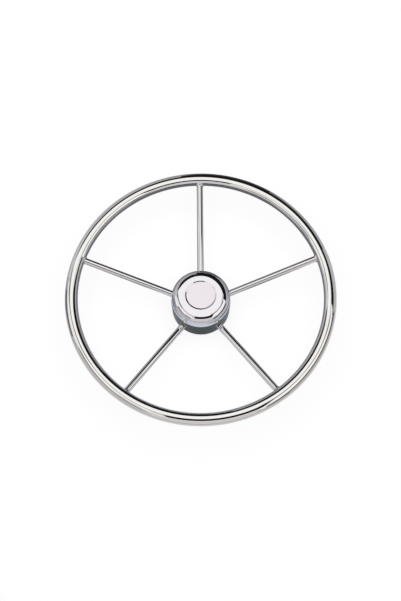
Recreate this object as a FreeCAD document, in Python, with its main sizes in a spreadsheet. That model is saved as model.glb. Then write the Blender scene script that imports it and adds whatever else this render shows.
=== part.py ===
import FreeCAD
import Part
import Sketcher
import math
import os

# Five-spoke stainless boat steering wheel, lying on the back of its hub.
# Lengths are millimetres. +Z is the steering shaft's axis, towards the helmsman, and z = 0 is the
# hub's back face. The rim is a bent and welded tube. Straight rods run down from it, through the wall
# of a drawn hub shell, into a turned boss with the standard tapered bore. A turned ring in the mouth
# of the shell carries an O-ring, and a pressed cap pushes on over it.

# How near a round edge lies to the place where it is looked for
SAME_PLACE = 0.001

# Driving sizes: name, value, what it measures
DRIVING_SIZES = [
    ("wheel_diameter", 400.0, "across the outside of the rim"),
    ("rim_tube_diameter", 19.0, "outside of the rim's tube"),
    ("rim_wall", 1.5, "wall of the rim's tube"),
    ("rim_height", 58.5, "middle of the rim's tube above the hub's back face"),
    ("spoke_count", 5, "spokes, evenly spaced"),
    ("first_spoke_angle", 90.0, "degrees, from +X to the first spoke"),
    ("spoke_diameter", 9.5, "solid round rod"),
    ("spoke_depth", 9.5, "from the shell's open end down to where a spoke's line meets its wall"),
    ("spoke_rim_entry", 4.0, "how far a rod stands into the hollow of the rim's tube"),
    ("spoke_boss_entry", 4.5, "depth of a rod's socket in the boss"),
    ("rim_bead", 2.2, "radius of the hollow weld fillet between rod and rim"),
    ("hub_bead", 1.0, "radius of the round weld bead between rod and hub shell"),
    ("weld_gap", 0.1, "gap beside a piece that is welded into a hole"),
    ("shell_back_diameter", 87.2, "hub shell across its back"),
    ("shell_mouth_diameter", 88.4, "hub shell across its open end"),
    ("shell_height", 34.0, "hub shell, back face to open end"),
    ("shell_wall", 2.5, "sheet of the hub shell"),
    ("shell_corner", 4.0, "outside radius round the back of the hub shell"),
    ("boss_diameter", 40.0, "turned boss"),
    ("boss_setback", 4.0, "from the shell's open end down to the boss's front"),
    ("boss_spigot_diameter", 34.0, "neck of the boss that stands in the shell's floor"),
    ("boss_chamfer", 1.0, "round the boss's front edge"),
    ("taper_diameter", 19.05, "large end of the tapered bore, at the back face"),
    ("taper_ratio", 12.0, "length in which the bore narrows by one"),
    ("key_width", 4.8, "keyway"),
    ("key_depth", 2.4, "keyway, beyond the bore's large end"),
    ("nut_recess_diameter", 28.0, "recess for the shaft's nut and washer"),
    ("nut_recess_depth", 5.0, "recess for the shaft's nut and washer"),
    ("seat_depth", 4.0, "how far the seat ring stands into the shell"),
    ("seat_shoulder_gap", 0.3, "from the start of the cap's shoulder down to the seat ring's front"),
    ("seat_wall", 5.5, "seat ring, radially"),
    ("seat_chamfer", 0.6, "lead-in round the seat ring's front edge"),
    ("o_ring_section", 2.4, "O-ring, as it lies in its groove"),
    ("o_ring_side_gap", 0.3, "groove beyond the O-ring on each side"),
    ("o_ring_gap", 0.05, "between the O-ring and the cap's skirt"),
    ("cap_diameter", 87.6, "across the cap's skirt"),
    ("cap_height", 20.5, "cap, skirt's edge to flat top"),
    ("cap_wall", 1.2, "sheet of the cap"),
    ("cap_gap", 0.2, "between the cap's skirt and the seat ring"),
    ("cap_shoulder", 14.0, "outside radius between the cap's skirt and top"),
    ("recess_diameter", 46.0, "round recess in the cap's top"),
    ("recess_depth", 1.0, "round recess in the cap's top"),
    ("recess_run", 1.6, "width of the recess's sloping side"),
    ("recess_round", 1.8, "radius at the top and foot of the recess's side"),
    ("skirt_round", 0.4, "radius round the cap's lower edge"),
]

# Worked-out sizes, as expressions that the objects are bound to
RIM_CIRCLE = "((Sizes.wheel_diameter - Sizes.rim_tube_diameter) / 2)"
TUBE_RADIUS = "(Sizes.rim_tube_diameter / 2)"
ROD_RADIUS = "(Sizes.spoke_diameter / 2)"
HOLE_RADIUS = "(Sizes.spoke_diameter / 2 + Sizes.weld_gap)"
BACK_RADIUS = "(Sizes.shell_back_diameter / 2)"
MOUTH_RADIUS = "(Sizes.shell_mouth_diameter / 2)"
WALL_TAPER = f"(({MOUTH_RADIUS} - {BACK_RADIUS}) / Sizes.shell_height)"
BOSS_RADIUS = "(Sizes.boss_diameter / 2)"
SPIGOT_RADIUS = "(Sizes.boss_spigot_diameter / 2)"
BOSS_TOP = "(Sizes.shell_height - Sizes.boss_setback)"
NUT_FLOOR = f"({BOSS_TOP} - Sizes.nut_recess_depth)"
SKIRT_RADIUS = "(Sizes.cap_diameter / 2 - Sizes.cap_wall)"
SEAT_RADIUS = f"({SKIRT_RADIUS} - Sizes.cap_gap)"
SEAT_BORE = f"({SEAT_RADIUS} - Sizes.seat_wall)"
CAP_TOP = "(Sizes.shell_height + Sizes.cap_height)"
SEAT_TOP = f"({CAP_TOP} - Sizes.cap_shoulder - Sizes.seat_shoulder_gap)"
RECESS_RADIUS = "(Sizes.recess_diameter / 2)"
RECESS_FLOOR = f"({CAP_TOP} - Sizes.recess_depth)"
RECESS_FOOT = f"({RECESS_RADIUS} - Sizes.recess_run)"
GROOVE_RADIUS = f"({SKIRT_RADIUS} - Sizes.o_ring_gap - Sizes.o_ring_section)"
GROOVE_MIDDLE = f"((Sizes.shell_height + {SEAT_TOP}) / 2)"
GROOVE_HALF = "(Sizes.o_ring_section / 2 + Sizes.o_ring_side_gap)"

# A spoke's line runs from the middle of the rim's tube to a point on the outside of the shell's wall
ENTRY_HEIGHT = "(Sizes.shell_height - Sizes.spoke_depth)"
ENTRY_RADIUS = f"({MOUTH_RADIUS} - {WALL_TAPER} * Sizes.spoke_depth)"
SLOPE = f"atan((Sizes.rim_height - {ENTRY_HEIGHT}) / ({RIM_CIRCLE} - {ENTRY_RADIUS}))"
CROSSING_HEIGHT = f"({ENTRY_HEIGHT} - {ENTRY_RADIUS} * tan({SLOPE}))"

# Places along that line, measured from the point where it crosses the wheel's axis
ROD_START = f"({BOSS_RADIUS} / cos({SLOPE}) - Sizes.spoke_boss_entry)"
ROD_AT_WALL = f"({ENTRY_RADIUS} / cos({SLOPE}))"
ROD_AT_RIM = f"({RIM_CIRCLE} / cos({SLOPE}) - {TUBE_RADIUS})"
ROD_END = f"({ROD_AT_RIM} + Sizes.rim_wall + Sizes.spoke_rim_entry)"


def bind(thing, **expressions):
    """Ties each named property to its expression."""
    for name, expression in expressions.items():
        thing.setExpression(name, expression)
    return thing


def add(document, kind, label, **expressions):
    """Adds an object of the given kind, with its sizes tied to expressions."""
    thing = document.addObject(kind, label)
    thing.Label = label
    return bind(thing, **expressions)


def worth(thing, expression):
    """The number that an expression gives now."""
    answer = thing.evalExpression(expression)
    return answer.Value if hasattr(answer, "Value") else float(answer)


def make_sheet(document):
    """Writes the driving sizes into the document's sheet, one row each."""
    sheet = document.addObject("Spreadsheet::Sheet", "Sizes")
    for row, (name, value, meaning) in enumerate(DRIVING_SIZES, start=1):
        sheet.set(f"A{row}", name)
        sheet.set(f"B{row}", str(value))
        sheet.set(f"C{row}", meaning)
        sheet.setAlias(f"B{row}", name)
    document.recompute()
    return sheet


def hollow_side(start, end, radius):
    """An arc between two corners that bends into the outline, which has its solid side on the left."""
    chord = end - start
    reach = math.sqrt(radius ** 2 - (chord.Length / 2) ** 2)
    outward = FreeCAD.Vector(chord.y, -chord.x, 0).normalize()
    centre = (start + end) / 2 + outward * reach
    first = math.atan2(end.y - centre.y, end.x - centre.x)
    last = math.atan2(start.y - centre.y, start.x - centre.x)
    circle = Part.Circle(centre, FreeCAD.Vector(0, 0, 1), radius)
    return Part.ArcOfCircle(circle, first, last)


def draw_outline(body, corners, hollows=None):
    """Draws a closed outline in the body's upright plane, with the solid side on the left.

    Each corner is a pair of expressions, its distance across from the axis and its height. hollows gives the
    radius of each side that is a hollow arc, by the number of the corner that the side starts from.
    """
    hollows = hollows or {}
    sketch = body.newObject("Sketcher::SketchObject", f"{body.Label}_outline")
    sketch.AttachmentSupport = next(f for f in body.Origin.OriginFeatures if f.Role == "XZ_Plane")
    sketch.MapMode = "FlatFace"
    count = len(corners)
    places = [FreeCAD.Vector(worth(body, across), worth(body, up), 0) for across, up in corners]
    for number, start in enumerate(places):
        end = places[(number + 1) % count]
        if number in hollows:
            sketch.addGeometry(hollow_side(start, end, worth(body, hollows[number])))
        else:
            sketch.addGeometry(Part.LineSegment(start, end))
    # An arc runs anticlockwise, so a hollow side starts at its second end
    first_end = [2 if number in hollows else 1 for number in range(count)]
    for number in range(count):
        after = (number + 1) % count
        sketch.addConstraint(
            Sketcher.Constraint("Coincident", number, 3 - first_end[number], after, first_end[after]))
    for number, (across, up) in enumerate(corners):
        for direction, name, expression in (("DistanceX", "across", across), ("DistanceY", "up", up)):
            made = sketch.addConstraint(Sketcher.Constraint(
                direction, -1, 1, number, first_end[number], worth(body, expression)))
            sketch.renameConstraint(made, f"{name}_{number}")
            sketch.setExpression(f"Constraints.{name}_{number}", expression)
    for number, radius in hollows.items():
        made = sketch.addConstraint(Sketcher.Constraint("Radius", number, worth(body, radius)))
        sketch.renameConstraint(made, f"radius_{number}")
        sketch.setExpression(f"Constraints.radius_{number}", radius)
    return sketch


def turned_body(document, label, corners, hollows=None):
    """A body made by turning an outline once round the upright axis."""
    body = add(document, "PartDesign::Body", label)
    sketch = draw_outline(body, corners, hollows)
    turned = body.newObject("PartDesign::Revolution", f"{label}_turned")
    turned.Profile = sketch
    turned.ReferenceAxis = (sketch, ["V_Axis"])
    turned.Angle = 360
    document.recompute()
    return body


def rings_at(shape, places):
    """Names of the round edges at the given radii and heights."""
    names = []
    for number, edge in enumerate(shape.Edges, start=1):
        if not isinstance(edge.Curve, Part.Circle):
            continue
        for radius, height in places:
            off = max(abs(edge.Curve.Radius - radius), abs(edge.Curve.Center.z - height))
            if off < SAME_PLACE:
                names.append(f"Edge{number}")
    if len(names) != len(places):
        raise RuntimeError(f"{len(names)} round edges found for {len(places)} places")
    return names


def dress(document, body, kind, name, size_name, size, corners):
    """Adds a fillet or chamfer of one size to the round edges at the given corners of a turned body."""
    places = [(worth(body, across), worth(body, up)) for across, up in corners]
    base = body.Tip
    feature = body.newObject(f"PartDesign::{kind}", f"{body.Label}_{name}")
    feature.Base = (base, rings_at(base.Shape, places))
    feature.setExpression(size_name, size)
    document.recompute()
    return feature


def joined(document, kind, label, base, tool):
    """A boolean of two objects."""
    result = add(document, kind, label)
    result.Base = base
    result.Tool = tool
    return result


def spoke_angle(number):
    """Expression for the direction of one spoke, in degrees from +X."""
    return f"(Sizes.first_spoke_angle + 360 / Sizes.spoke_count * {number})"


def on_spoke(number, distance):
    """Expression for a placement on a spoke's line, with its own +Z pointing along the spoke to the rim."""
    angle = spoke_angle(number)
    across = f"{distance} * cos({SLOPE})"
    height = f"{CROSSING_HEIGHT} + {distance} * sin({SLOPE})"
    place = f"vector({across} * cos({angle}); {across} * sin({angle}); {height})"
    return f"placement({place}; rotation({angle}; 90 deg - {SLOPE}; 0))"


def make_drills(document, count):
    """The holes for the rods, from the bottom of each socket in the boss to inside the rim's tube."""
    drills = []
    for number in range(count):
        drills.append(add(
            document, "Part::Cylinder", f"drill_{number + 1}",
            Radius=HOLE_RADIUS,
            Height=f"{ROD_END} + Sizes.rim_wall - {ROD_START}",
            Placement=on_spoke(number, ROD_START),
        ))
    holes = add(document, "Part::Compound", "drills")
    holes.Links = drills
    return holes


def make_rim(document, holes):
    """The rim's tube, drilled for the rods. Gives the drilled bar too, which trims the welds."""
    place = "placement(vector(0; 0; Sizes.rim_height); rotation(0; 0; 0))"
    bar = add(document, "Part::Torus", "rim_bar", Radius1=RIM_CIRCLE, Radius2=TUBE_RADIUS, Placement=place)
    core = add(document, "Part::Torus", "rim_core", Radius1=RIM_CIRCLE,
               Radius2=f"{TUBE_RADIUS} - Sizes.rim_wall", Placement=place)
    drilled = joined(document, "Part::Cut", "rim_drilled", bar, holes)
    return joined(document, "Part::Cut", "rim_tube", drilled, core), drilled


def make_shell(document, holes):
    """The drawn hub shell, with its rod holes. Gives its drilled outside too, which trims the weld beads."""
    foot = f"{BACK_RADIUS} + {WALL_TAPER} * Sizes.shell_wall - Sizes.shell_wall"
    floor_hole = f"{SPIGOT_RADIUS} + Sizes.weld_gap"
    body = turned_body(document, "shell_drawn", [
        (floor_hole, "0"),
        (BACK_RADIUS, "0"),
        (MOUTH_RADIUS, "Sizes.shell_height"),
        (f"{MOUTH_RADIUS} - Sizes.shell_wall", "Sizes.shell_height"),
        (foot, "Sizes.shell_wall"),
        (floor_hole, "Sizes.shell_wall"),
    ])
    dress(document, body, "Fillet", "back", "Radius", "Sizes.shell_corner", [(BACK_RADIUS, "0")])
    dress(document, body, "Fillet", "inside", "Radius", "Sizes.shell_corner - Sizes.shell_wall",
          [(foot, "Sizes.shell_wall")])
    shell = joined(document, "Part::Cut", "hub_shell", body, holes)
    outside = add(document, "Part::Cone", "shell_outside",
                  Radius1=BACK_RADIUS, Radius2=MOUTH_RADIUS, Height="Sizes.shell_height")
    return shell, joined(document, "Part::Cut", "shell_trimmer", outside, holes)


def make_boss(document, holes):
    """The turned boss, with its tapered bore, keyway, nut recess and rod sockets."""
    large = "Sizes.taper_diameter / 2"
    small = f"(Sizes.taper_diameter - {NUT_FLOOR} / Sizes.taper_ratio) / 2"
    nut = "Sizes.nut_recess_diameter / 2"
    body = turned_body(document, "boss_turned", [
        (large, "0"),
        (SPIGOT_RADIUS, "0"),
        (SPIGOT_RADIUS, "Sizes.shell_wall"),
        (BOSS_RADIUS, "Sizes.shell_wall"),
        (BOSS_RADIUS, BOSS_TOP),
        (nut, BOSS_TOP),
        (nut, NUT_FLOOR),
        (small, NUT_FLOOR),
    ])
    dress(document, body, "Chamfer", "front", "Size", "Sizes.boss_chamfer", [(BOSS_RADIUS, BOSS_TOP)])
    # The keyway is in line with the first spoke
    angle = spoke_angle(0)
    aside = "Sizes.key_width / 2"
    corner = f"vector({aside} * sin({angle}); -{aside} * cos({angle}); 0)"
    keyway = add(
        document, "Part::Box", "keyway",
        Length="Sizes.taper_diameter / 2 + Sizes.key_depth",
        Width="Sizes.key_width",
        Height=NUT_FLOOR,
        Placement=f"placement({corner}; rotation({angle}; 0; 0))",
    )
    keyed = joined(document, "Part::Cut", "boss_keyed", body, keyway)
    return joined(document, "Part::Cut", "hub_boss", keyed, holes)


def make_seat_ring(document):
    """The turned ring in the shell's mouth, with the O-ring's groove."""
    neck = f"{MOUTH_RADIUS} - Sizes.shell_wall - Sizes.weld_gap"
    low = "Sizes.shell_height - Sizes.seat_depth"
    body = turned_body(document, "cap_seat_ring", [
        (SEAT_BORE, low),
        (f"{neck} - {WALL_TAPER} * Sizes.seat_depth", low),
        (neck, "Sizes.shell_height"),
        (SEAT_RADIUS, "Sizes.shell_height"),
        (SEAT_RADIUS, f"{GROOVE_MIDDLE} - {GROOVE_HALF}"),
        (GROOVE_RADIUS, f"{GROOVE_MIDDLE} - {GROOVE_HALF}"),
        (GROOVE_RADIUS, f"{GROOVE_MIDDLE} + {GROOVE_HALF}"),
        (SEAT_RADIUS, f"{GROOVE_MIDDLE} + {GROOVE_HALF}"),
        (SEAT_RADIUS, SEAT_TOP),
        (SEAT_BORE, SEAT_TOP),
    ])
    dress(document, body, "Chamfer", "lead_in", "Size", "Sizes.seat_chamfer", [(SEAT_RADIUS, SEAT_TOP)])
    return body


def make_o_ring(document):
    """The rubber O-ring, lying in its groove."""
    return add(
        document, "Part::Torus", "cap_o_ring",
        Radius1=f"{GROOVE_RADIUS} + Sizes.o_ring_section / 2",
        Radius2="Sizes.o_ring_section / 2",
        Placement=f"placement(vector(0; 0; {GROOVE_MIDDLE}); rotation(0; 0; 0))",
    )


def make_cap(document):
    """The pressed cap: a straight skirt, a large round shoulder and a shallow recess, all in one sheet."""
    outer = "Sizes.cap_diameter / 2"
    under = f"{CAP_TOP} - Sizes.cap_wall"
    under_floor = f"{RECESS_FLOOR} - Sizes.cap_wall"
    # Half the sheet's thickness beyond the outside keeps the sloping side about as thick as the rest
    aside = "Sizes.cap_wall / 2"
    body = turned_body(document, "hub_cap", [
        ("0", under_floor),
        (f"{RECESS_FOOT} + {aside}", under_floor),
        (f"{RECESS_RADIUS} + {aside}", under),
        (SKIRT_RADIUS, under),
        (SKIRT_RADIUS, "Sizes.shell_height"),
        (outer, "Sizes.shell_height"),
        (outer, CAP_TOP),
        (RECESS_RADIUS, CAP_TOP),
        (RECESS_FOOT, RECESS_FLOOR),
        ("0", RECESS_FLOOR),
    ])
    dress(document, body, "Fillet", "shoulder", "Radius", "Sizes.cap_shoulder", [(outer, CAP_TOP)])
    dress(document, body, "Fillet", "inside", "Radius", "Sizes.cap_shoulder - Sizes.cap_wall",
          [(SKIRT_RADIUS, under)])
    dress(document, body, "Fillet", "recess", "Radius", "Sizes.recess_round",
          [(RECESS_RADIUS, CAP_TOP), (RECESS_FOOT, RECESS_FLOOR)])
    dress(document, body, "Fillet", "edge", "Radius", "Sizes.skirt_round",
          [(outer, "Sizes.shell_height")])
    return body


def make_spoke(document, number, rim_trimmer, shell_trimmer):
    """One rod, with its hollow weld fillet at the rim and its round bead at the hub shell."""
    collar = f"{ROD_RADIUS} + Sizes.rim_bead"
    seat = f"{ROD_AT_RIM} - {ROD_START}"
    body = turned_body(document, f"rod_{number + 1}", [
        ("0", "0"),
        (ROD_RADIUS, "0"),
        (ROD_RADIUS, f"{seat} - Sizes.rim_bead"),
        (collar, seat),
        (collar, f"{ROD_END} - {ROD_START}"),
        ("0", f"{ROD_END} - {ROD_START}"),
    ], hollows={2: "Sizes.rim_bead"})
    bind(body, Placement=on_spoke(number, ROD_START))
    bead = add(document, "Part::Torus", f"bead_{number + 1}", Radius1=ROD_RADIUS, Radius2="Sizes.hub_bead",
               Placement=on_spoke(number, ROD_AT_WALL))
    beaded = joined(document, "Part::Fuse", f"rod_beaded_{number + 1}", body, bead)
    fitted = joined(document, "Part::Cut", f"rod_fitted_{number + 1}", beaded, shell_trimmer)
    return joined(document, "Part::Cut", f"spoke_{number + 1}", fitted, rim_trimmer)


def check(document, parts):
    """Stops if any object failed, or if a sub-part is empty or broken."""
    for thing in document.Objects:
        if "Invalid" in thing.State or "Error" in thing.State:
            raise RuntimeError(f"{thing.Label} failed: {thing.State}")
    for part in parts:
        if part.Shape.isNull() or not part.Shape.isValid() or len(part.Shape.Solids) != 1:
            raise RuntimeError(f"{part.Label} is not one sound solid")


def main():
    document = FreeCAD.newDocument("boat_steering_wheel")
    sheet = make_sheet(document)
    count = int(sheet.get("spoke_count"))
    holes = make_drills(document, count)
    rim_tube, rim_trimmer = make_rim(document, holes)
    hub_shell, shell_trimmer = make_shell(document, holes)
    parts = [rim_tube]
    parts += [make_spoke(document, number, rim_trimmer, shell_trimmer) for number in range(count)]
    parts += [hub_shell, make_boss(document, holes), make_seat_ring(document)]
    parts += [make_o_ring(document), make_cap(document)]
    document.recompute()
    check(document, parts)
    os.makedirs("parts", exist_ok=True)
    for part in parts:
        part.Shape.exportStep(f"parts/{part.Label}.step")
        print(part.Label, round(part.Shape.Volume / 1000, 2), "cm3")


main()
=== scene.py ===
import math

import bpy
import numpy as np
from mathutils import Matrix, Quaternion, Vector


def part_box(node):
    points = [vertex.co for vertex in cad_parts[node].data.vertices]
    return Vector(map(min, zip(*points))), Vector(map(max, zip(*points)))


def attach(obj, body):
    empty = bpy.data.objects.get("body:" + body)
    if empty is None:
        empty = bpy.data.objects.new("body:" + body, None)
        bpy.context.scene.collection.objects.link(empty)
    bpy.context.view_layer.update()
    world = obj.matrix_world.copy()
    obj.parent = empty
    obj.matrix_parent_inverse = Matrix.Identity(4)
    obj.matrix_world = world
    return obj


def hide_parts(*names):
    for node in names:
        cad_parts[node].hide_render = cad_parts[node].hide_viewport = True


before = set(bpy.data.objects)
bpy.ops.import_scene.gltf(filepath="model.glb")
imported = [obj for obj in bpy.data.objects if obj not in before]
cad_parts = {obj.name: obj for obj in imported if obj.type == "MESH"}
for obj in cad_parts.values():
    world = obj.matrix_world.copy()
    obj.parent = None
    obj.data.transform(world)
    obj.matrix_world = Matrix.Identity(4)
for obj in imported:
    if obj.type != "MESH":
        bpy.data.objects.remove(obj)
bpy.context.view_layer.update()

bl_info = {
    "name": "Boat steering wheel",
    "version": (1, 0, 0),
    "blender": (4, 5, 0),
    "location": "3D View > Sidebar > Wheel",
    "description": "Dresses the solids of a polished five-spoke boat wheel and sets it in a studio",
    "category": "Mesh",
}

# Measures of the solids, in metres
RIM_LOW, RIM_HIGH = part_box("rim_tube")
CAP_LOW, CAP_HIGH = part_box("hub_cap")
SHELL_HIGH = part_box("hub_shell")[1]
TUBE_RADIUS = (RIM_HIGH.z - RIM_LOW.z) / 2
RIM_HEIGHT = (RIM_HIGH.z + RIM_LOW.z) / 2
RIM_CIRCLE = RIM_HIGH.x - TUBE_RADIUS
CAP_RADIUS = CAP_HIGH.x
MOUTH_RADIUS = SHELL_HIGH.x
MOUTH_HEIGHT = SHELL_HIGH.z
SPOKES = sorted(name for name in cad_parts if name.startswith("spoke_"))

# The photograph's frame in pixels, where the middle of the rim lies in it, and its scale there
PHOTO_WIDTH, PHOTO_HEIGHT = 401, 601
RIM_MIDDLE_X, RIM_MIDDLE_Y = 200.77, 293.88
PIXELS_PER_METRE = 678.9
SENSOR = 36.0

# The stage, in metres. Places across the floor are from the wheel's axis, and rises are over the rim's
# middle
FLOOR_REACH, FLOOR_HEIGHT = 6.0, -0.0002
ROOM_RADIUS = 2.0
LAMP_WIDTH, LAMP_RISE = 1.2, 0.80
ROOF_RISE = 0.815
ROOF_CORNERS = ((-1.15, -1.05), (1.5, -1.05), (1.5, 1.2), (-1.15, 1.2))
DARK_CARD_RISE = 0.40
DARK_CARD_CORNERS = ((0.28, 0.13), (1.0, 0.13), (1.0, 0.9), (0.23, 0.9))

# Brightness of the stage's black parts, and the tints of its white and grey ones
BLACK_LEVEL = 0.012
BLACK, WHITE = (0.0, 0.0, 0.0), (1.0, 1.0, 1.0)
ROOF_TINT = (1.0, 0.99, 0.97)
ROOM_TINT = (1.0, 0.985, 0.975)
BOARD_TINT = (0.99, 0.99, 1.01)

# Grey seams between the roof's white panels: points, width, blur and how dark
ROOF_SEAMS = (
    (((-0.46, 0.02), (-0.54, 0.22), (-0.63, 0.40), (-0.88, 0.56)), 0.22, 0.09, 0.90),
    (((0.35, -0.26), (0.46, -0.08), (0.57, 0.10), (0.62, 0.22)), 0.18, 0.09, 0.85),
    (((-0.30, -0.36), (-0.38, -0.20), (-0.46, 0.02)), 0.18, 0.09, 0.55),
    (((0.57, 0.12), (0.44, 0.24), (0.29, 0.37)), 0.14, 0.10, 0.50),
    (((-0.20, -0.29), (-0.39, -0.75)), 0.12, 0.08, 0.40),
    (((-0.60, -0.60), (-1.10, -1.10)), 0.34, 0.16, 0.45),
)

# The roof's dark gap lies on the left of two edges, looking along them, and ends in a tip by the second
GAP_EDGES = (((-0.17, -0.27), (-0.33, -0.80)), ((0.61, -0.75), (0.34, -0.15)))
GAP_FRONT, GAP_BACK = -0.90, -0.31
GAP_TIP = ((0.31, -0.50), (0.33, -0.15))
TIP_WIDTH = 0.11

# The roof is black on the left of its back edge
BACK_EDGE = ((-0.30, 0.545), (0.30, 0.43))

# Grey boards that stand round the wheel. Each has a start and an end, and there the rises of its top, its
# brightness, and the rises of its foot.
ON_FLOOR = (-RIM_HEIGHT, -RIM_HEIGHT)
BOARDS = {
    "stage_board_behind": ((-0.32, 0.27), (-0.083, 0.391), (0.18, 0.155), (0.62, 0.44), ON_FLOOR),
    "stage_board_behind_right": ((-0.083, 0.391), (-0.06, 0.55), (0.155, 0.29), (0.44, 0.36), ON_FLOOR),
    "stage_board_far_right": ((0.58, 0.14), (0.24, 0.50), (0.20, 0.11), (0.68, 0.33), ON_FLOOR),
    "stage_board_behind_left": ((-0.50, 0.20), (-0.32, 0.27), (0.36, 0.18), (0.70, 0.62), ON_FLOOR),
    "stage_board_near_right": ((0.325, 0.0), (0.265, 0.145), (0.085, 0.085), (0.56, 0.56), ON_FLOOR),
    "stage_board_right": ((0.585, 0.06), (0.46, -0.40), (0.235, 0.23), (0.03, 0.03), (0.07, 0.11)),
    "stage_board_right_front": ((0.46, -0.40), (0.355, -0.50), (0.235, 0.26), (0.02, 0.26), (0.05, 0.06)),
    "stage_board_left_low": ((-0.45, -0.06), (-0.45, 0.12), (0.05, 0.05), (0.10, 0.10), ON_FLOOR),
    "stage_board_left": ((-0.51, -0.10), (-0.51, 0.26), (0.137, 0.137), (0.50, 0.50), ON_FLOOR),
}

# Sectors of the room round the wheel: first turn, last turn and blur in degrees
ROOM_LEFT, ROOM_FRONT = (-176.0, -122.0, 8.0), (-122.0, -56.0, 8.0)
ROOM_RIGHT, ROOM_BEHIND = (-56.0, 12.0, 4.0), (12.0, 93.0, 4.0)
ROOM_BEHIND_LEFT = (93.0, 145.0, 5.0)

# Rings of the floor, as the steel mirrors it: radius and blur
# Inside the first ring, under the hub, a contact shadow is painted on the mirrored floor.
HUB_SHADOW_RING, BY_HUB, BETWEEN_SPOKES = (0.0575, 0.004), (0.085, 0.04), (0.17, 0.05)
NEAR_RIM, AT_SIDE, FAR_SIDE = (0.33, 0.30), (0.48, 0.34), (0.70, 0.50)

# Darker sectors of the floor behind the wheel, as the steel mirrors it: first turn, last turn and blur in
# degrees, and how much darker
FLOOR_SECTORS = (
    (15.0, 57.0, 10.0, 0.08),
    (57.0, 93.0, 12.0, 0.36),
    (93.0, 106.0, 8.0, 0.15),
    (106.0, 137.0, 10.0, 0.05),
)


# Sizes and colours that a user would change

def length(name, description, default):
    """A length in metres."""
    return bpy.props.FloatProperty(name=name, description=description, default=default,
                                   subtype="DISTANCE", unit="LENGTH", precision=5)


def share(name, description, default, most=1.0):
    """A plain number from nought to the given most."""
    return bpy.props.FloatProperty(name=name, description=description, default=default,
                                   min=0.0, max=most, precision=3)


def colour(name, description, default):
    """A colour of three parts."""
    return bpy.props.FloatVectorProperty(name=name, description=description, default=default,
                                         subtype="COLOR", size=3, min=0.0, max=1.0)


class WheelSizes(bpy.types.PropertyGroup):
    """Sizes of the pieces that are made anew"""
    rod_diameter: length("Rod", "Diameter of a spoke's rod", 0.0095)
    rod_depth: length("Rod depth", "From the shell's open end down to where a rod meets its wall", 0.0095)
    rod_tuck: length("Rod tuck", "How far inside the shell's wall a rod ends, in the boss", 0.0278)
    shell_lean: length("Shell lean", "How much the shell's wall draws in from mouth to back", 0.0006)
    rim_weld: length("Rim weld", "Reach of the polished weld fillet between rod and rim", 0.0024)
    hub_weld: length("Hub weld", "Radius of the weld bead between rod and shell", 0.0010)
    weld_ripples: bpy.props.IntProperty(name="Weld ripples", description="Ripples round one weld bead",
                                        default=24, min=6, max=60)
    cap_shoulder: length("Cap shoulder", "Outside radius between the cap's skirt and top", 0.014)
    cap_sheet: length("Cap sheet", "Thickness of the cap's sheet", 0.0012)
    recess_radius: length("Recess", "Radius of the round recess in the cap's top", 0.023)
    recess_depth: length("Recess depth", "Depth of the round recess", 0.001)
    recess_run: length("Recess run", "Width of the recess's sloping side", 0.0016)
    recess_round: length("Recess round", "Radius at the top and foot of the recess's side", 0.0018)
    edge_round: length("Edge round", "Radius round the cap's lower edge", 0.0004)


class WheelFinish(bpy.types.PropertyGroup):
    """Colours and gloss of the finishes"""
    steel: colour("Polished steel", "Mirror-polished stainless steel", (0.80, 0.79, 0.785))
    # The recess's darker, lavender colour is a painted darker reflection; the extra roughness given in the
    # recess is its real duller finish.
    recess: colour("Recess", "The duller floor of the cap's recess", (0.745, 0.70, 0.745))
    cap: colour("Cap", "Mirror-polished sheet of the cap", (0.775, 0.765, 0.80))
    # The skirt's cooler, bluer colour is painted reflection: it stands in for the pale blue floor that the
    # skirt mirrors.
    skirt: colour("Cap's skirt", "The cooler tone of the cap's lower side", (0.78, 0.80, 0.84))
    rod: colour("Rods", "Polished rods of the spokes", (0.77, 0.76, 0.76))
    weld: colour("Weld", "Weld beads round the hub", (0.42, 0.41, 0.39))
    shell: colour("Hub shell", "Dark drawn hub shell", (0.064, 0.066, 0.067))
    turned: colour("Turned steel", "Boss and seat ring as they come from the lathe", (0.60, 0.59, 0.58))
    rubber: colour("Rubber", "O-ring", (0.018, 0.018, 0.019))
    polish: share("Polish", "Roughness of the mirror polish", 0.02)


class WheelStudio(bpy.types.PropertyGroup):
    """The studio round the wheel"""
    softbox: share("Softbox", "Strength of the overhead softbox", 1.14, 10.0)
    panels: share("Side panels", "Strength of the white panels round the sides", 1.05, 10.0)
    floor: colour("Floor", "Pale floor", (0.95, 0.95, 0.95))
    floor_glow: share("Floor glow", "Share of plain white in the floor that the camera sees", 0.86)
    floor_outside: colour("Floor outside", "Tint of the floor round the wheel, as the steel mirrors it",
                          (1.0, 0.975, 0.975))
    floor_behind: colour("Floor behind", "Tint of the floor behind the wheel, as the steel mirrors it",
                         (0.95, 0.935, 1.0))
    floor_inside: colour("Floor inside", "Tint of the floor between the spokes, as the steel mirrors it",
                         (0.84, 0.845, 1.0))
    floor_hub: colour("Floor by the hub", "Floor round the hub, as the steel mirrors it",
                      (0.71, 0.77, 0.83))
    # The hub's shade is a painted contact shadow: the mirrored floor right beside the hub is darkened to
    # this share of its tone.
    hub_shade: share("Hub's shade", "Share of its tone that the floor keeps right beside the hub", 0.5)
    key: bpy.props.FloatProperty(name="Key lamp", description="Power of the lamp that casts the shadow",
                                 default=6.5, min=0.0, subtype="POWER", unit="POWER")
    elevation: bpy.props.FloatProperty(name="Camera elevation", description="Camera above the horizon",
                                       default=math.radians(67.71), subtype="ANGLE", unit="ROTATION")
    roll: bpy.props.FloatProperty(name="Camera roll", description="Turn about the camera's line of sight",
                                  default=math.radians(-0.55), subtype="ANGLE", unit="ROTATION")
    distance: length("Camera distance", "From the middle of the rim to the camera", 1.5)


# Shader maths as expressions

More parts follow.
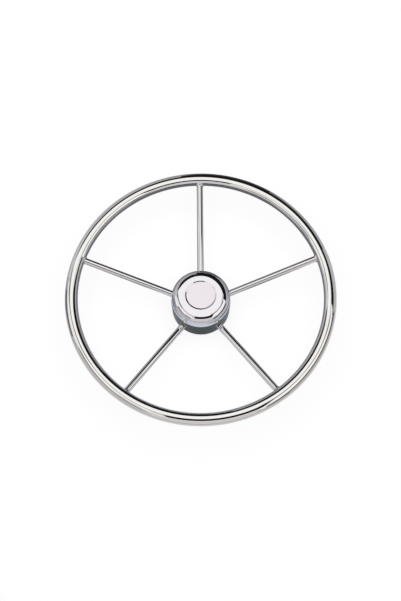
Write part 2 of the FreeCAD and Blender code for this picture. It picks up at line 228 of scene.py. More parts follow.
class Signal:
    """A number that changes over a surface: the output of a shader node."""

    def __init__(self, shader, socket):
        self.shader = shader
        self.socket = socket

    def maths(self, operation, *others):
        """A Math node on this number and the others, if the operation takes any."""
        return self.shader.maths(operation, self, *others)

    def __add__(self, other):
        return self.maths("ADD", other)

    def __sub__(self, other):
        return self.maths("SUBTRACT", other)

    def __mul__(self, other):
        return self.maths("MULTIPLY", other)

    def __truediv__(self, other):
        return self.maths("DIVIDE", other)

    def __pow__(self, other):
        return self.maths("POWER", other)

    def __rsub__(self, other):
        return self.shader.maths("SUBTRACT", other, self)

    def __rtruediv__(self, other):
        return self.shader.maths("DIVIDE", other, self)

    __radd__ = __add__
    __rmul__ = __mul__

    def above(self, edge, blur):
        """Nought below the edge and one above it, with a soft step as wide as the blur."""
        return self.shader.node("ShaderNodeMapRange", "Result", dict(interpolation_type="SMOOTHSTEP"),
                                Value=self, **{"From Min": edge - blur / 2, "From Max": edge + blur / 2})

    def between(self, low, high, blur):
        """One between the two edges and nought outside them."""
        return self.above(low, blur) * (1 - self.above(high, blur))


class Shader:
    """A node tree being filled."""

    def __init__(self, tree):
        self.tree = tree
        tree.nodes.clear()

    def add(self, kind, **settings):
        node = self.tree.nodes.new(kind)
        for name, value in settings.items():
            setattr(node, name, value)
        return node

    def feed(self, socket, value):
        if isinstance(value, Signal):
            self.tree.links.new(value.socket, socket)
        elif hasattr(value, "__len__") and len(value) == 3 and socket.type == "RGBA":
            socket.default_value = (*value, 1.0)
        else:
            socket.default_value = value

    def node(self, kind, output, settings=None, **inputs):
        """Adds a node, with its settings first and then its sockets' values or links."""
        node = self.add(kind, **(settings or {}))
        for name, value in inputs.items():
            self.feed(node.inputs[name.replace("_", " ")], value)
        return Signal(self, node.outputs[output])

    def maths(self, operation, *values):
        """A Math node on one value or more, in their order."""
        node = self.add("ShaderNodeMath", operation=operation)
        for place, value in enumerate(values):
            self.feed(node.inputs[place], value)
        return Signal(self, node.outputs[0])

    def blend(self, factor, first, second):
        """A colour between two."""
        node = self.add("ShaderNodeMix", data_type="RGBA", clamp_factor=True)
        for place, value in ((0, factor), (6, first), (7, second)):
            self.feed(node.inputs[place], value)
        return Signal(self, node.outputs[2])

    def place(self, kind="Object"):
        """The surface's own coordinates."""
        return self.node("ShaderNodeTexCoord", kind)

    def split(self, vector):
        """The three parts of a vector."""
        node = self.add("ShaderNodeSeparateXYZ")
        self.feed(node.inputs[0], vector)
        return [Signal(self, output) for output in node.outputs]

    def rays(self, *kinds):
        """One on rays of the given kinds, and nought on others."""
        node = self.add("ShaderNodeLightPath")
        kinds = [Signal(self, node.outputs[kind]) for kind in kinds]
        return sum(kinds[1:], kinds[0]).maths("MINIMUM", 1.0)

    def vector(self, x, y, z):
        return self.node("ShaderNodeCombineXYZ", "Vector", X=x, Y=y, Z=z)

    def noise(self, vector, scale=1.0, detail=2.0, roughness=0.5):
        return self.node("ShaderNodeTexNoise", "Fac", Vector=vector, Scale=scale, Detail=detail,
                         Roughness=roughness)

    def bump(self, height, distance):
        """The surface's direction, tilted by a height from nought to one that stands for the distance."""
        return self.node("ShaderNodeBump", "Normal", Height=height, Distance=distance)

    def surface(self, **inputs):
        """Ends the tree in a Principled surface."""
        self.output(self.node("ShaderNodeBsdfPrincipled", "BSDF", **inputs))

    def glow(self, colour, level):
        """A surface that shines by itself."""
        return self.node("ShaderNodeEmission", "Emission", Color=colour, Strength=level)

    def output(self, ends, kind="ShaderNodeOutputMaterial"):
        node = self.add(kind)
        self.feed(node.inputs["Surface"], ends)


def new_material(name):
    material = bpy.data.materials.new(name)
    material.use_nodes = True
    return material, Shader(material.node_tree)


def times(factor, tint):
    """A colour made darker or paler."""
    return tuple(min(1.0, part * factor) for part in tint)


def out_from_axis(x, y):
    """Distance from the wheel's axis."""
    return (x * x + y * y) ** 0.5


# Finishes

def mirror_steel(name, tint, polish):
    """Mirror-polished tube and rod.

    The buffing runs along the piece, as its UV map does in metres.
    """
    material, shader = new_material(name)
    along, around, _ = shader.split(shader.place("UV"))
    streaks = shader.noise(shader.vector(along * 25.0, around * 2600.0, 0.0), detail=3.0, roughness=0.6)
    haze = shader.noise(shader.place(), scale=22.0, detail=3.0)
    wander = shader.noise(shader.vector(along * 14.0, around * 40.0, 3.0), detail=0.0)
    shader.surface(
        Base_Color=shader.blend(haze * 0.5 + streaks * 0.3, tint, times(0.93, tint)),
        Metallic=1.0,
        Roughness=polish + streaks * 0.015 + haze * 0.02,
        Normal=shader.bump(wander * 0.5 + streaks * 0.004, 0.00004),
    )
    return material


def spun_steel(name, finish, recess_edge):
    """The cap's polish, buffed in circles on the top and round the skirt, and duller in the recess.

    Its colour cools from the shoulder down to the skirt: a painted reflection of the pale blue floor that
    the skirt mirrors.
    """
    material, shader = new_material(name)
    place = shader.place()
    x, y, z = shader.split(place)
    out = out_from_axis(x, y)
    turn = x.maths("ARCTAN2", y)
    rings = shader.noise(shader.vector(out * 5200.0, turn * 1.6, z * 5200.0), detail=3.0, roughness=0.6)
    haze = shader.noise(place, scale=26.0, detail=3.0)
    wander = shader.noise(place, scale=38.0, detail=1.0)
    # The recess gets a darker colour, painted as a darker reflection, and more roughness for its duller
    # finish.
    inside = 1 - out.above(recess_edge, 0.0012)
    plain = shader.blend(haze * 0.6 + rings * 0.25, finish.cap, times(0.94, finish.cap))
    # Painted reflection: below the shoulder the colour turns to the skirt's cooler tone, for the pale blue
    # floor it mirrors.
    plain = shader.blend(1 - z.above(CAP_HIGH.z - 0.0085, 0.008), plain, finish.skirt)
    shader.surface(
        Base_Color=shader.blend(inside, plain, finish.recess),
        Metallic=1.0,
        Roughness=finish.polish + rings * 0.02 + haze * 0.015 + inside * 0.10,
        Normal=shader.bump(wander * 0.5 + rings * 0.008, 0.00005),
    )
    return material


def drawn_steel(name, tint):
    """The hub shell: dark drawn steel with faint rings from the die, and a little paler in patches."""
    material, shader = new_material(name)
    place = shader.place()
    x, y, z = shader.split(place)
    turn = x.maths("ARCTAN2", y)
    rings = shader.noise(shader.vector(turn * 1.2, 0.0, z * 1500.0), detail=3.0, roughness=0.6)
    mottle = shader.noise(place, scale=60.0, detail=3.0)
    shader.surface(
        Base_Color=shader.blend(mottle * 0.5 + rings * 0.4, tint, times(1.35, tint)),
        Metallic=1.0,
        Roughness=0.10 + rings * 0.05 + mottle * 0.04,
        Normal=shader.bump(rings * 0.03 + mottle * 0.4, 0.00005),
    )
    return material


def turned_steel(name, tint):
    """Turned faces: fine even grooves from the tool, in circles on the ends and round the sides."""
    material, shader = new_material(name)
    place = shader.place()
    x, y, z = shader.split(place)
    out = out_from_axis(x, y)
    grooves = ((out + z) * 12000.0).maths("SINE") * 0.5 + 0.5
    chatter = shader.noise(place, scale=180.0, detail=3.0)
    shader.surface(
        Base_Color=shader.blend(chatter * 0.6, tint, times(0.8, tint)),
        Metallic=1.0,
        Roughness=0.24 + grooves * 0.05 + chatter * 0.08,
        Normal=shader.bump(grooves + chatter * 0.5, 0.000012),
    )
    return material


def weld_steel(name, tint):
    """Weld metal, brushed clean: rougher than the rod and a little straw-coloured in places."""
    material, shader = new_material(name)
    place = shader.place()
    grain = shader.noise(place, scale=900.0, detail=3.0)
    tide = shader.noise(place, scale=120.0, detail=2.0)
    straw = (tint[0] * 0.90, tint[1] * 0.82, tint[2] * 0.68)
    shader.surface(
        Base_Color=shader.blend(tide.above(0.52, 0.25) * 0.7, times(0.85, tint), straw),
        Metallic=1.0,
        Roughness=0.16 + grain * 0.16,
        Normal=shader.bump(grain, 0.00003),
    )
    return material


def seal_rubber(name, tint):
    """Greased black rubber with a fine mould grain."""
    material, shader = new_material(name)
    grain = shader.noise(shader.place(), scale=1500.0, detail=3.0)
    bloom = shader.noise(shader.place(), scale=90.0, detail=2.0)
    shader.surface(
        Base_Color=shader.blend(bloom * 0.6, tint, times(2.2, tint)),
        Roughness=0.38 + grain * 0.2,
        Normal=shader.bump(grain, 0.00002),
    )
    return material


def dress(piece, material):
    """Gives a piece one material."""
    piece.data.materials.clear()
    piece.data.materials.append(material)


# Shapes as surfaces on a grid

def unit(vectors):
    return vectors / np.linalg.norm(vectors, axis=-1, keepdims=True)


def ring(count):
    """Evenly spaced angles once round, without the last."""
    return np.arange(count) * (2 * math.pi / count)


def grid_normals(points, looped):
    """Surface directions: the cross product of the differences along and round the grid."""
    if looped:
        along = np.roll(points, -1, axis=0) - np.roll(points, 1, axis=0)
    else:
        along = np.gradient(points, axis=0)
    around = np.roll(points, -1, axis=1) - np.roll(points, 1, axis=1)
    normals = np.cross(around, along)
    size = np.linalg.norm(normals, axis=-1, keepdims=True)
    return normals / np.maximum(size, 1e-15)


def grid_reach(points):
    """Distances along the grid's first axis, row by row, and round its second, column by column."""
    columns = points.shape[1]
    steps = np.linalg.norm(np.diff(points, axis=0, append=points[:1]), axis=-1).mean(1)
    along = np.concatenate([[0.0], np.cumsum(steps)])
    widest = np.linalg.norm(np.roll(points, -1, axis=1) - points, axis=-1).sum(1).max()
    return along, np.arange(columns + 1) / columns * widest


def quad_faces(rows, columns, looped, reach):
    """Faces of four corners between neighbouring rows, and their places on the UV map."""
    along, around = reach
    strips, band_rows, first_row = (rows, rows, 0) if looped else (rows - 3, rows - 2, 1)
    i, j = np.meshgrid(np.arange(strips), np.arange(columns), indexing="ij")
    after = (j + 1) % columns
    row, next_row = i * columns, ((i + 1) % band_rows) * columns
    faces = np.stack([row + j, row + after, next_row + after, next_row + j], -1).reshape(-1, 4)
    low, high = along[i + first_row], along[i + first_row + 1]
    uvs = np.stack([
        np.stack([low, around[j]], -1), np.stack([low, around[j + 1]], -1),
        np.stack([high, around[j + 1]], -1), np.stack([high, around[j]], -1),
    ], axis=2).reshape(-1, 4, 2)
    return faces, uvs


def pole_faces(rows, columns, reach):
    """Faces of three corners round the two poles, which come after the other points, and their UV places."""
    along, around = reach
    j = np.arange(columns)
    after = (j + 1) % columns
    last = (rows - 3) * columns
    start_pole = (rows - 2) * columns
    faces = [
        np.stack([np.full(columns, start_pole), after, j], -1),
        np.stack([np.full(columns, start_pole + 1), last + j, last + after], -1),
    ]
    uvs = [np.stack([
        np.stack([np.full(columns, along[pole_row]), around[j]], -1),
        np.stack([np.full(columns, along[near_row]), around[first]], -1),
        np.stack([np.full(columns, along[near_row]), around[second]], -1),
    ], axis=1) for pole_row, near_row, first, second in ((0, 1, j + 1, j), (rows - 1, rows - 2, j, j + 1))]
    return faces, uvs


def make_piece(name, points, looped=False):
    """A closed piece from a grid of points that closes round its second axis.

    The first axis either closes too, or its first and last rows are each one point, a pole. The UV map runs
    in metres along the first axis and round the second.
    """
    rows, columns = points.shape[:2]
    normals = grid_normals(points, looped)
    reach = grid_reach(points)
    quads, quad_uvs = quad_faces(rows, columns, looped, reach)
    faces, uvs = [quads], [quad_uvs]
    if looped:
        verts, facing = points.reshape(-1, 3), normals.reshape(-1, 3)
    else:
        tips = unit(normals[[1, -2]].mean(1))
        verts = np.concatenate([points[1:-1].reshape(-1, 3), points[[0, -1], 0]])
        facing = np.concatenate([normals[1:-1].reshape(-1, 3), tips])
        fans, fan_uvs = pole_faces(rows, columns, reach)
        faces += fans
        uvs += fan_uvs
    corners = verts[quads]
    outward = np.cross(corners[:, 2] - corners[:, 0], corners[:, 3] - corners[:, 1])
    if (corners.mean(1) * outward).sum() < 0:
        faces = [block[:, ::-1] for block in faces]
        uvs = [block[:, ::-1] for block in uvs]
        outward = -outward
    if (facing[quads[:, 0]] * outward).sum() < 0:
        facing *= -1
    corner_uvs = np.concatenate([block.reshape(-1, 2) for block in uvs])
    mesh = bpy.data.meshes.new(name)
    mesh.from_pydata(verts.tolist(), [], [face for block in faces for face in block.tolist()])
    layer = mesh.uv_layers.new(name="UVMap")
    layer.data.foreach_set("uv", corner_uvs.astype(np.float32).ravel())
    mesh.shade_smooth()
    mesh.normals_split_custom_set_from_vertices(facing.tolist())
    mesh.update()
    piece = bpy.data.objects.new(name, mesh)
    bpy.context.scene.collection.objects.link(piece)
    return piece


def rounded_path(corners, step):
    """A path in the upright plane through corners, each a distance across, a height and a radius.

    Every corner with a radius becomes a tangent arc: it leaves the two sides at the radius times the
    tangent of half the turn, and its points lie at most a step of angle apart.
    """
    places = np.array([(across, up) for across, up, _ in corners])
    path = [places[0]]
    for number in range(1, len(corners) - 1):
        radius = corners[number][2]
        before = unit(places[number] - places[number - 1])
        after = unit(places[number + 1] - places[number])
        turn = math.atan2(before[0] * after[1] - before[1] * after[0], before @ after)
        reach = radius * math.tan(abs(turn) / 2)
        side = np.array([-before[1], before[0]]) * math.copysign(1, turn)
        start = places[number] - before * reach
        centre = start + side * radius
        count = max(2, int(abs(turn) / step) + 1)
        angles = np.linspace(0, turn, count + 1)
        arm = start - centre
        turned = np.stack([arm[0] * np.cos(angles) - arm[1] * np.sin(angles),
                           arm[0] * np.sin(angles) + arm[1] * np.cos(angles)], -1)
        path.extend(centre + turned)
    path.append(places[-1])
    return np.array(path)


def spun(path, columns=288):
    """A path turned round the upright axis: each point of it draws a circle."""
    angles = ring(columns)
    across, up = path[:, 0][:, None], path[:, 1][:, None]
    return np.stack([across * np.cos(angles), across * np.sin(angles), up + 0 * angles], -1)


def rim_surface(rows=1080, columns=72, wobble=0.00002):
    """The rim: a circle of tube radius carried round a larger circle.

    The bending leaves the tube a hair narrower here and there, by a slow wave along it and twice round it.
    """
    turn, roll = ring(rows)[:, None], ring(columns)[None, :]
    wave = np.sin(17 * turn + 1.3) * np.cos(2 * roll + 3 * turn) + np.sin(41 * turn)
    radius = TUBE_RADIUS - wobble * (1 + wave / 2)
    out = RIM_CIRCLE + radius * np.cos(roll)
    return np.stack([out * np.cos(turn), out * np.sin(turn), RIM_HEIGHT + radius * np.sin(roll)], -1)


def rod_frame(number, sizes):
    """Where a rod's line crosses the wheel's axis, its direction, and the two directions across it."""
    entry_height = MOUTH_HEIGHT - sizes.rod_depth
    entry_radius = MOUTH_RADIUS - sizes.shell_lean * sizes.rod_depth / MOUTH_HEIGHT
    slope = math.atan2(RIM_HEIGHT - entry_height, RIM_CIRCLE - entry_radius)
    angle = math.pi / 2 + number * 2 * math.pi / len(SPOKES)
    outward = np.array([math.cos(angle), math.sin(angle), 0.0])
    direction = outward * math.cos(slope) + np.array([0.0, 0.0, math.sin(slope)])
    sideways = np.array([-math.sin(angle), math.cos(angle), 0.0])
    upward = np.cross(direction, sideways)
    crossing = np.array([0.0, 0.0, entry_height - entry_radius * math.tan(slope)])
    return crossing, direction, sideways, upward, entry_radius / math.cos(slope)


def tube_gap(points):
    """How far points lie outside the rim's tube, and the direction away from the tube's middle."""
    out = np.hypot(points[..., 0], points[..., 1])
    foot = np.stack([points[..., 0] / out, points[..., 1] / out, 0 * out], -1) * RIM_CIRCLE
    foot[..., 2] = RIM_HEIGHT
    arm = points - foot
    size = np.linalg.norm(arm, axis=-1)
    return size - TUBE_RADIUS, arm / size[..., None]


def rod_surface(number, sizes, columns=64, straight_rows=28, fillet_rows=14):
    """One rod with its polished weld fillet at the rim.

    Along each straight line of the rod's side, the point where it would meet the rim's tube is found by
    stepping on by the gap. The fillet is a cubic curve from a little before that point to as far along the
    tube's surface, tangent to both.
    """
    crossing, direction, sideways, upward, at_wall = rod_frame(number, sizes)
    roll = ring(columns)
    across = np.cos(roll)[:, None] * sideways + np.sin(roll)[:, None] * upward
    side = crossing + across * (sizes.rod_diameter / 2)
    start = at_wall - sizes.rod_tuck
    along = np.full(columns, RIM_CIRCLE - 3 * TUBE_RADIUS)
    for _ in range(60):
        gap, _ = tube_gap(side + along[:, None] * direction)
        along = along + gap * 0.7
    met = side + along[:, None] * direction
    _, away = tube_gap(met)
    reach = sizes.rim_weld
    skirt = unit(across - (across * away).sum(-1, keepdims=True) * away)
    foot = met + skirt * reach
    gap, foot_away = tube_gap(foot)
    foot = foot - foot_away * gap[:, None]
    leaving = unit(skirt - (skirt * foot_away).sum(-1, keepdims=True) * foot_away)
    begin = met - direction * reach
    pull = 0.56 * reach
    t = np.linspace(0, 1, fillet_rows)[:, None, None]
    fillet = ((1 - t) ** 3 * begin + 3 * (1 - t) ** 2 * t * (begin + direction * pull)
              + 3 * (1 - t) * t ** 2 * (foot - leaving * pull) + t ** 3 * foot)
    lift = np.linspace(0, 1, straight_rows)[:, None]
    line = start + lift * ((along - reach) - start)
    straight = side + line[..., None] * direction
    sunk = foot + leaving * (reach * 0.15) - foot_away * (reach * 0.2)
    start_pole = np.broadcast_to(crossing + start * direction, (1, columns, 3))
    inner = crossing + (along.mean() + reach) * direction
    end_pole = np.broadcast_to(inner, (1, columns, 3))
    return np.concatenate([start_pole, straight, fillet[1:], sunk[None], end_pole])


def weld_surface(number, sizes, columns=288, section=14):
    """The weld bead round a rod where it enters the shell.

    A small circle is carried round the line in which rod and shell meet, and it swells and narrows with the
    ripples. The shell's wall is a cone, and the line is found by a few steps towards it.
    """
    crossing, direction, sideways, upward, at_wall = rod_frame(number, sizes)
    turn, roll = ring(columns), ring(section)
    across = np.cos(turn)[:, None] * sideways + np.sin(turn)[:, None] * upward
    side = crossing + across * (sizes.rod_diameter / 2)
    along = np.full(columns, at_wall)
    lean = sizes.shell_lean / MOUTH_HEIGHT
    for _ in range(12):
        point = side + along[:, None] * direction
        wall = MOUTH_RADIUS - lean * (MOUTH_HEIGHT - point[:, 2])
        along = along + (wall - np.hypot(point[:, 0], point[:, 1]))
    path = side + along[:, None] * direction
    ripple = np.abs(np.sin(turn * sizes.weld_ripples / 2))
    radius = sizes.hub_weld * (0.86 + 0.14 * ripple)
    circle = np.cos(roll)[None, :, None] * across[:, None] + np.sin(roll)[None, :, None] * direction
    return path[:, None] + radius[:, None, None] * circle


def cap_path(sizes, arc_step=math.radians(2.5)):
    """Half the cap's section, from the middle of its top, over the shoulder, and back inside."""
    top, foot = CAP_HIGH.z, CAP_LOW.z
    sheet = sizes.cap_sheet
    floor = top - sizes.recess_depth
    run_in = sizes.recess_radius - sizes.recess_run
    aside = sheet / 2
    return rounded_path([
        (0.0, floor, 0.0),
        (run_in, floor, sizes.recess_round),
        (sizes.recess_radius, top, sizes.recess_round),
        (CAP_RADIUS, top, sizes.cap_shoulder),
        (CAP_RADIUS, foot, sizes.edge_round),
        (CAP_RADIUS - sheet, foot, sizes.edge_round),
        (CAP_RADIUS - sheet, top - sheet, sizes.cap_shoulder - sheet),
        (sizes.recess_radius + aside, top - sheet, sizes.edge_round),
        (run_in + aside, floor - sheet, sizes.edge_round),
        (0.0, floor - sheet, 0.0),
    ], arc_step)


# Studio

def card(name, verts, faces):
    """A piece of the stage, which isn't part of the wheel."""
    mesh = bpy.data.meshes.new(name)
    mesh.from_pydata(verts, [], faces)
    made = bpy.data.objects.new(name, mesh)
    bpy.context.scene.collection.objects.link(made)
    return made


def level_card(name, corners, height, order=(3, 2, 1, 0)):
    """A level card that faces down, or up with its corners taken in order."""
    return card(name, [(*corner, height) for corner in corners], [order])


def only_mirrored(thing):
    """Hides a card from the camera, and keeps it from lighting or shading the floor."""
    thing.visible_camera = False
    thing.visible_shadow = False
    thing.visible_diffuse = False


def degrees(up, across):
    """The angle whose tangent is one number over another."""
    return up.maths("ARCTAN2", across) * (180 / math.pi)


def line_reach(x, y, start, end):
    """How far along a straight line a place lies, how far off it to its left, and the line's length."""
    run = math.dist(start, end)
    ux, uy = (end[0] - start[0]) / run, (end[1] - start[1]) / run
    along = (x - start[0]) * ux + (y - start[1]) * uy
    aside = (y - start[1]) * ux - (x - start[0]) * uy
    return along, aside, run


def left_of(x, y, start, end, blur):
    """One on the left of a line, looking from its start to its end."""
    return line_reach(x, y, start, end)[1].above(0.0, blur)


def strip(x, y, start, end, width, blur):
    """One on a straight strip between two points."""
    along, aside, run = line_reach(x, y, start, end)
    return along.between(0.0, run, blur) * aside.between(-width / 2, width / 2, blur)


def path_strip(x, y, points, width, blur):
    """One on a strip along a line of several points."""
    off = 1
    for start, end in zip(points, points[1:]):
        off = off * (1 - strip(x, y, start, end, width, blur))
    return 1 - off


def roof_material(studio):
    """The tent's roof by place: white panels sewn at grey seams, a dark gap in front and black behind."""
    material, shader = new_material("stage_roof")
    x, y, _ = shader.split(shader.place())
    gap = y.between(GAP_FRONT, GAP_BACK, 0.07)
    for start, end in GAP_EDGES:
        gap = gap * left_of(x, y, start, end, 0.05)
    tip = strip(x, y, *GAP_TIP, TIP_WIDTH, 0.05)
    behind = left_of(x, y, *BACK_EDGE, 0.06) * x.above(-1.0, 0.3)
    dark = 1 - (1 - gap) * (1 - tip) * (1 - behind)
    seams = sum(path_strip(x, y, points, width, blur) * depth for points, width, blur, depth in ROOF_SEAMS)
    fall = x.above(-1.0, 0.2) * 0.45 + 0.55
    level = (1 - dark) * (1 - seams.maths("MINIMUM", 1.0)) * fall * studio.softbox + BLACK_LEVEL
    shader.output(shader.glow(ROOF_TINT, level))
    return material


def room_material(studio):
    """The room round the wheel by direction: white panels at the sides and front, black on the far side."""
    material, shader = new_material("stage_room")
    x, y, z = shader.split(shader.place())
    height = degrees(z - RIM_HEIGHT, out_from_axis(x, y))
    turn = degrees(y, x)
    far_left = turn.above(145.0, 5.0) + (1 - turn.above(-176.0, 6.0))
    left = turn.between(*ROOM_LEFT)
    front = turn.between(*ROOM_FRONT)
    right = turn.between(*ROOM_RIGHT)
    behind = turn.between(*ROOM_BEHIND)
    behind_left = turn.between(*ROOM_BEHIND_LEFT)
    level = far_left * (height.above(14.0, 12.0) * 0.57 + 0.50)
    level = level + left * (0.62 - height.between(20.0, 38.0, 6.0) * 0.38 + height.above(39.0, 8.0) * 0.50)
    level = level + front * (0.84 - height.above(6.0, 10.0) * 0.15)
    level = level + right * (0.54 + height.above(20.0, 6.0) * 0.58)
    level = level + behind * (1 - height.above(2.0, 8.0)) * 0.20
    level = level + behind_left * (1 - height.above(7.0, 14.0)) * 0.42
    shader.output(shader.glow(ROOM_TINT, level * studio.panels + BLACK_LEVEL))
    return material


def board_material(name, start, end, first, last):
    """A low grey board whose level runs evenly from the first to the last along its foot."""
    material, shader = new_material(name)
    x, y, _ = shader.split(shader.place())
    along, _, run = line_reach(x, y, start, end)
    level = (along / run).maths("MINIMUM", 1.0) * (last - first) + first
    shader.output(shader.glow(BOARD_TINT, level))
    return material


def dark_material(name):
    """Black card, the same all over."""
    material, shader = new_material(name)
    shader.output(shader.glow(BOARD_TINT, BLACK_LEVEL))
    return material


def make_board(name, start, end, top_rises, levels, foot_rises):
    """An upright board over a line. Its top and foot each run evenly from the line's start to its end."""
    tops, feet = [[RIM_HEIGHT + rise for rise in rises] for rises in (top_rises, foot_rises)]
    corners = [(*start, feet[0]), (*end, feet[1]), (*end, tops[1]), (*start, tops[0])]
    board = card(name, corners, [(0, 1, 2, 3)])
    dress(board, board_material(name, start, end, *levels))
    only_mirrored(board)


def floor_material(studio):
    """Pale floor.

    The camera sees it white with the wheel's soft shadow. The steel mirrors its own tone, into which a
    contact shadow is painted right beside the hub.
    """
    material, shader = new_material("stage_floor")
    x, y, _ = shader.split(shader.place())
    out = out_from_axis(x, y)
    camera = shader.rays("Is Camera Ray")
    mirrored = shader.rays("Is Glossy Ray", "Is Transmission Ray")
    turn = degrees(y, x)
    near = 1 - out.above(*NEAR_RIM)
    at_side = 1 - out.above(*AT_SIDE)
    front = turn.between(-165.0, -15.0, 16.0)
    right = turn.between(-15.0, 15.0, 16.0)
    level = 0.44 + front * 0.08 - turn.above(163.0, 14.0) * 0.16
    for first, last, blur, depth in FLOOR_SECTORS:
        level = level - turn.between(first, last, blur) * depth
    level = level - right * out.above(*FAR_SIDE) * 0.20 + right * at_side * 0.32
    level = level + near * (0.08 + front * 0.20)
    between_spokes = 1 - out.above(*BETWEEN_SPOKES)
    inner_level = 0.34 - x.between(-0.12, 0.12, 0.08) * 0.16 + (1 - y.above(-0.04, 0.08)) * 0.26
    inner_level = inner_level + turn.between(-140.0, -40.0, 20.0) * 0.34
    inner_level = inner_level - x.above(0.036, 0.03) * (1 - y.above(-0.03, 0.08)) * 0.33
    outer = shader.blend(y.above(0.0, 0.30), studio.floor_outside, studio.floor_behind)
    outer = shader.blend(level, BLACK, outer)
    inner = shader.blend(inner_level, BLACK, studio.floor_inside)
    tone = shader.blend(between_spokes, outer, inner)
    by_hub = (1 - out.above(*BY_HUB)) * (1 - y.above(0.035, 0.02))
    tone = shader.blend(by_hub, tone, studio.floor_hub)
    # Painted contact shadow: right beside the hub the mirrored floor is darkened to the hub's shade.
    tone = shader.blend(1 - out.above(*HUB_SHADOW_RING), tone, times(studio.hub_shade, studio.floor_hub))
    seen_glow = out.above(0.45, 0.4) * (1 - studio.floor_glow) + studio.floor_glow
    glow_share = camera * seen_glow + mirrored * (1 - camera)
    paint = shader.node("ShaderNodeBsdfDiffuse", "BSDF", Color=studio.floor)
    glow = shader.glow(shader.blend(camera, tone, WHITE), 1.0)
    mix = shader.add("ShaderNodeMixShader")
    for place, value in enumerate((glow_share, paint, glow)):
        shader.feed(mix.inputs[place], value)
    shader.output(Signal(shader, mix.outputs[0]))
    return material


def make_world():
    """White for the camera and as the steel mirrors it, and about half as bright as a light."""
    world = bpy.data.worlds.new("stage_world")
    bpy.context.scene.world = world
    world.use_nodes = True
    shader = Shader(world.node_tree)
    level = shader.rays("Is Camera Ray", "Is Glossy Ray", "Is Transmission Ray") * 0.45 + 0.55
    sky = shader.node("ShaderNodeBackground", "Background", Color=WHITE, Strength=level)
    shader.output(sky, "ShaderNodeOutputWorld")


def dome_grid(radius, rows=24, columns=64):
    """Half a sphere over the floor: height by one angle and turn by the other."""
    rise = np.linspace(0, math.pi / 2, rows)[:, None]
    turn = ring(columns)[None, :]
    points = np.stack([radius * np.cos(rise) * np.cos(turn), radius * np.cos(rise) * np.sin(turn),
                       radius * np.sin(rise) + 0 * turn], -1)
    i, j = np.meshgrid(np.arange(rows - 1), np.arange(columns), indexing="ij")
    after = (j + 1) % columns
    row, next_row = i * columns, (i + 1) * columns
    faces = np.stack([row + j, row + after, next_row + after, next_row + j], -1)
    return points.reshape(-1, 3).tolist(), faces.reshape(-1, 4).tolist()


def make_lamp(studio):
    """A large soft lamp over the wheel. It casts the shadow, and the steel doesn't mirror it."""
    data = bpy.data.lights.new("key_lamp", "AREA")
    data.shape = "DISK"
    data.size = LAMP_WIDTH
    data.energy = studio.key
    lamp = bpy.data.objects.new("key_lamp", data)
    bpy.context.scene.collection.objects.link(lamp)
    lamp.location = (0.0, 0.0, RIM_HEIGHT + LAMP_RISE)
    lamp.visible_camera = False
    lamp.visible_glossy = False


def make_camera(studio):
    """Looks at the middle of the rim, which the shift puts where the photograph has it."""
    data = bpy.data.cameras.new("photo_camera")
    camera = bpy.data.objects.new("photo_camera", data)
    bpy.context.scene.collection.objects.link(camera)
    back = Vector((0.0, -math.cos(studio.elevation), math.sin(studio.elevation)))
    camera.location = Vector((0.0, 0.0, RIM_HEIGHT)) + back * studio.distance
    camera.rotation_mode = "QUATERNION"
    level = (-back).to_track_quat("-Z", "Y")
    camera.rotation_quaternion = level @ Quaternion((0.0, 0.0, 1.0), studio.roll)
    long_side = max(PHOTO_WIDTH, PHOTO_HEIGHT)
    data.sensor_width = SENSOR
    data.lens = PIXELS_PER_METRE * studio.distance / long_side * SENSOR
    data.shift_x = (PHOTO_WIDTH / 2 - RIM_MIDDLE_X) / long_side
    data.shift_y = (RIM_MIDDLE_Y - PHOTO_HEIGHT / 2) / long_side
    bpy.context.scene.camera = camera


# Operators

class WHEEL_OT_rim(bpy.types.Operator):
    """Make the polished tube of the rim"""
    bl_idname = "wheel.rim"
    bl_label = "Rim"

    def execute(self, context):
        finish = context.scene.wheel_finish
        piece = make_piece("rim_polished", rim_surface(), looped=True)
        dress(piece, mirror_steel("rim_steel", finish.steel, finish.polish))
        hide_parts("rim_tube")
        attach(piece, "wheel")
        return {"FINISHED"}


class WHEEL_OT_spokes(bpy.types.Operator):
    """Make the rods with their weld fillets and beads"""
    bl_idname = "wheel.spokes"
    bl_label = "Spokes"

    def execute(self, context):
        sizes, finish = context.scene.wheel_sizes, context.scene.wheel_finish
        steel = mirror_steel("rod_steel", finish.rod, finish.polish)
        weld = weld_steel("weld_steel", finish.weld)
        for number, node in enumerate(SPOKES):
            rod = make_piece(f"{node}_rod", rod_surface(number, sizes))
            dress(rod, steel)
            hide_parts(node)
            bead = make_piece(f"{node}_weld", weld_surface(number, sizes), looped=True)
            dress(bead, weld)
            for piece in (rod, bead):
                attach(piece, "wheel")
        return {"FINISHED"}


class WHEEL_OT_cap(bpy.types.Operator):
    """Make the pressed cap"""
    bl_idname = "wheel.cap"
    bl_label = "Cap"

    def execute(self, context):
        sizes, finish = context.scene.wheel_sizes, context.scene.wheel_finish
        piece = make_piece("cap_polished", spun(cap_path(sizes)))
        recess_edge = sizes.recess_radius - sizes.recess_run
        dress(piece, spun_steel("cap_steel", finish, recess_edge))
        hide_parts("hub_cap")
        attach(piece, "cap")
        return {"FINISHED"}


class WHEEL_OT_hub(bpy.types.Operator):
    """Finish the hub's shell, boss, seat ring and O-ring"""
    bl_idname = "wheel.hub"
    bl_label = "Hub"

    def execute(self, context):
        finish = context.scene.wheel_finish
        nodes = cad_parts
        turned = turned_steel("lathe_steel", finish.turned)
        dress(nodes["hub_shell"], drawn_steel("shell_steel", finish.shell))
        dress(nodes["hub_boss"], turned)
        dress(nodes["cap_seat_ring"], turned)
        dress(nodes["cap_o_ring"], seal_rubber("o_ring_rubber", finish.rubber))
        return {"FINISHED"}


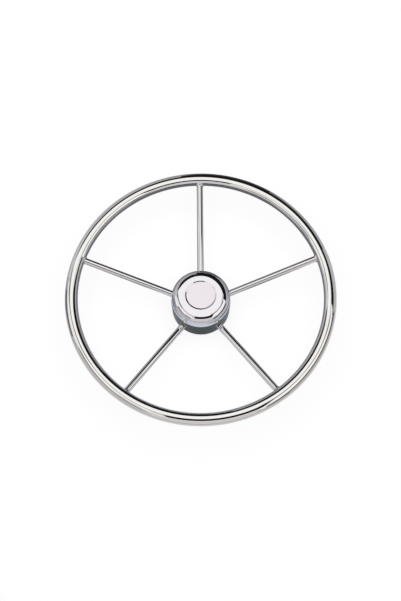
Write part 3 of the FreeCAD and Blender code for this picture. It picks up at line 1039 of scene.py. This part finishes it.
class WHEEL_OT_stage(bpy.types.Operator):
    """Make the floor, the cards that the steel mirrors, and the camera"""
    bl_idname = "wheel.stage"
    bl_label = "Studio"

    def execute(self, context):
        studio = context.scene.wheel_studio
        reach = FLOOR_REACH
        floor_corners = ((-reach, -reach), (reach, -reach), (reach, reach), (-reach, reach))
        floor = level_card("stage_floor", floor_corners, FLOOR_HEIGHT, order=(0, 1, 2, 3))
        dress(floor, floor_material(studio))
        roof = level_card("stage_roof", ROOF_CORNERS, RIM_HEIGHT + ROOF_RISE)
        dress(roof, roof_material(studio))
        for name, board in BOARDS.items():
            make_board(name, *board)
        dark = level_card("stage_card_right", DARK_CARD_CORNERS, RIM_HEIGHT + DARK_CARD_RISE)
        dress(dark, dark_material("stage_card_right"))
        room = card("stage_room", *dome_grid(ROOM_RADIUS))
        dress(room, room_material(studio))
        for thing in (roof, dark, room):
            only_mirrored(thing)
        make_lamp(studio)
        make_world()
        make_camera(studio)
        context.scene.view_settings.view_transform = "Standard"
        return {"FINISHED"}


class WHEEL_PT_pieces(bpy.types.Panel):
    """Lists the wheel's pieces"""
    bl_label = "Wheel"
    bl_idname = "WHEEL_PT_pieces"
    bl_space_type = "VIEW_3D"
    bl_region_type = "UI"
    bl_category = "Wheel"

    def draw(self, context):
        for operator in OPERATORS:
            self.layout.operator(operator.bl_idname)
        for group in (context.scene.wheel_sizes, context.scene.wheel_finish, context.scene.wheel_studio):
            box = self.layout.box()
            for name in group.__annotations__:
                box.prop(group, name)


OPERATORS = (WHEEL_OT_rim, WHEEL_OT_spokes, WHEEL_OT_cap, WHEEL_OT_hub, WHEEL_OT_stage)
GROUPS = {"wheel_sizes": WheelSizes, "wheel_finish": WheelFinish, "wheel_studio": WheelStudio}


def register():
    for group in GROUPS.values():
        bpy.utils.register_class(group)
    for name, group in GROUPS.items():
        setattr(bpy.types.Scene, name, bpy.props.PointerProperty(type=group))
    for thing in (*OPERATORS, WHEEL_PT_pieces):
        bpy.utils.register_class(thing)


def unregister():
    for thing in (WHEEL_PT_pieces, *reversed(OPERATORS)):
        bpy.utils.unregister_class(thing)
    for name in GROUPS:
        delattr(bpy.types.Scene, name)
    for group in reversed(GROUPS.values()):
        bpy.utils.unregister_class(group)


def main():
    register()
    bpy.ops.wheel.rim()
    bpy.ops.wheel.spokes()
    bpy.ops.wheel.cap()
    bpy.ops.wheel.hub()
    bpy.ops.wheel.stage()


if __name__ == "__main__":
    main()
